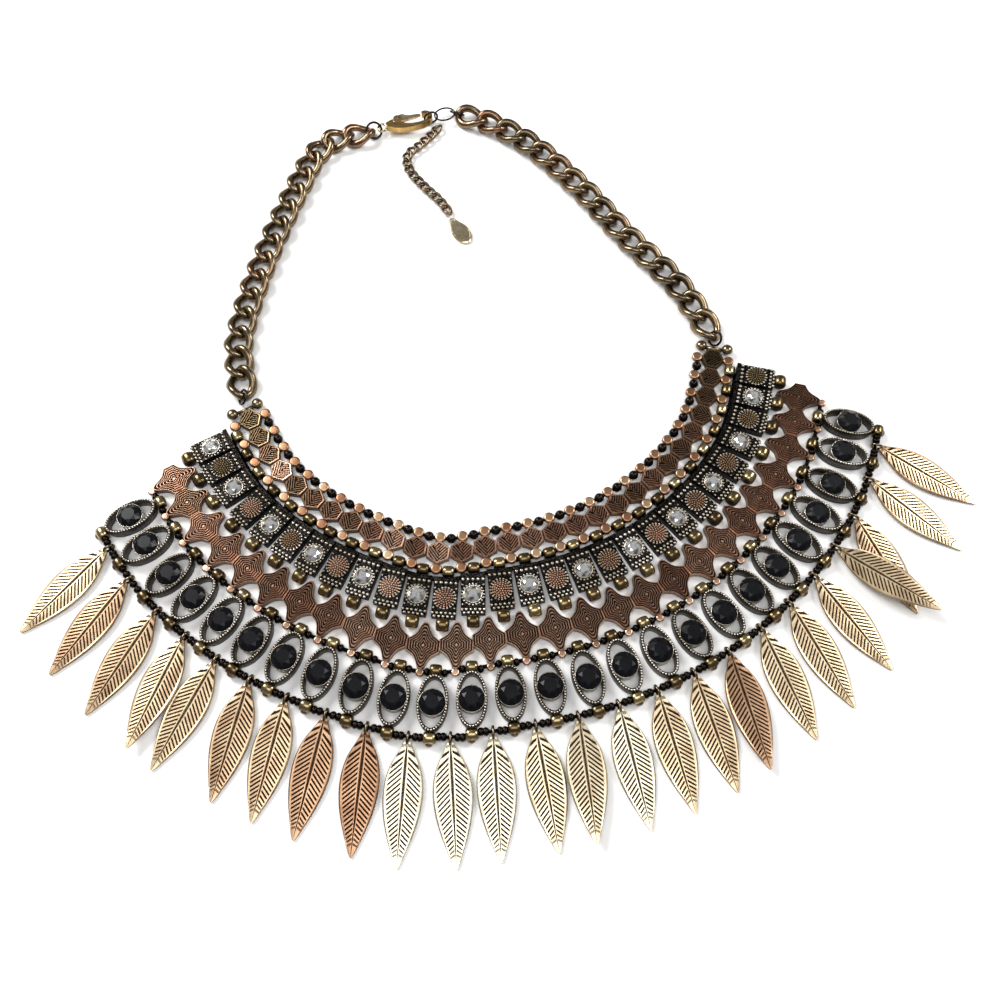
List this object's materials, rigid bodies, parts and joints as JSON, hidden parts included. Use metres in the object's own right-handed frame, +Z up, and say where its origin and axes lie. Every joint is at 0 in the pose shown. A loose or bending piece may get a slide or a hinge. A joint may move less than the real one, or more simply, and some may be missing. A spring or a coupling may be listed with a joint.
{
  "type": "bib necklace",
  "caption": "Netted bib necklace of engraved tiles, beads and stone settings with leaf drops, curb chains, a lobster clasp and an extension chain, lying flat.",
  "frame": {"origin": "centre of the outline as it lies, on the surface it rests on", "axes": "+Z up off the surface, +Y from the leaf drops towards the clasp, +X to the right as seen from above"},
  "size_m": [0.281, 0.2622, 0.0058],
  "materials": {
    "gunmetal_beads": "antiqued plating",
    "antique_copper": "antiqued plating",
    "antique_brass": "antiqued plating",
    "dark_bronze": "antiqued plating",
    "chain_bronze": "antiqued plating",
    "pale_gold": "antiqued plating",
    "leaf_gold": "antiqued plating"
  },
  "bodies": {
    "necklace": {"neck_bead_string": "gunmetal_beads", "hexagon_row": "antique_copper", "second_bead_string": "antique_brass", "granulated_tile_row": "dark_bronze", "star_row": "antique_copper", "oval_setting_row": "dark_bronze", "chain_left": "chain_bronze", "chain_right": "chain_bronze", "clasp_body": "pale_gold", "hook_ring": "gunmetal_beads", "bail_link": "gunmetal_beads", "extension_chain": "chain_bronze", "tag": "pale_gold", "jump_ring_left": "gunmetal_beads", "jump_ring_right": "gunmetal_beads", "end_ring_left": "gunmetal_beads", "end_ring_right": "gunmetal_beads", "leaf_01": "leaf_gold", "leaf_02": "leaf_gold", "leaf_03": "leaf_gold", "leaf_04": "leaf_gold", "leaf_05": "leaf_gold", "leaf_06": "leaf_gold", "leaf_07": "leaf_gold", "leaf_08": "leaf_gold", "leaf_09": "leaf_gold", "leaf_10": "leaf_gold", "leaf_11": "leaf_gold", "leaf_12": "leaf_gold", "leaf_13": "leaf_gold", "leaf_14": "leaf_gold", "leaf_15": "leaf_gold", "leaf_16": "leaf_gold", "leaf_17": "leaf_gold", "leaf_18": "leaf_gold", "leaf_19": "leaf_gold", "leaf_20": "leaf_gold", "leaf_21": "leaf_gold", "leaf_22": "leaf_gold", "leaf_23": "leaf_gold", "leaf_24": "leaf_gold", "leaf_25": "leaf_gold"},
    "lever": {"clasp_lever": "pale_gold"}
  },
  "joints": [
    {"name": "clasp_lever_hinge", "type": "hinge", "parent": "necklace", "child": "lever", "pos_m": [-0.04036, 0.12468, 0.00285], "axis": [0, 0, 1], "range_deg": [-20, 0], "stiffness_Nm_per_rad": 0.002}
  ]
}
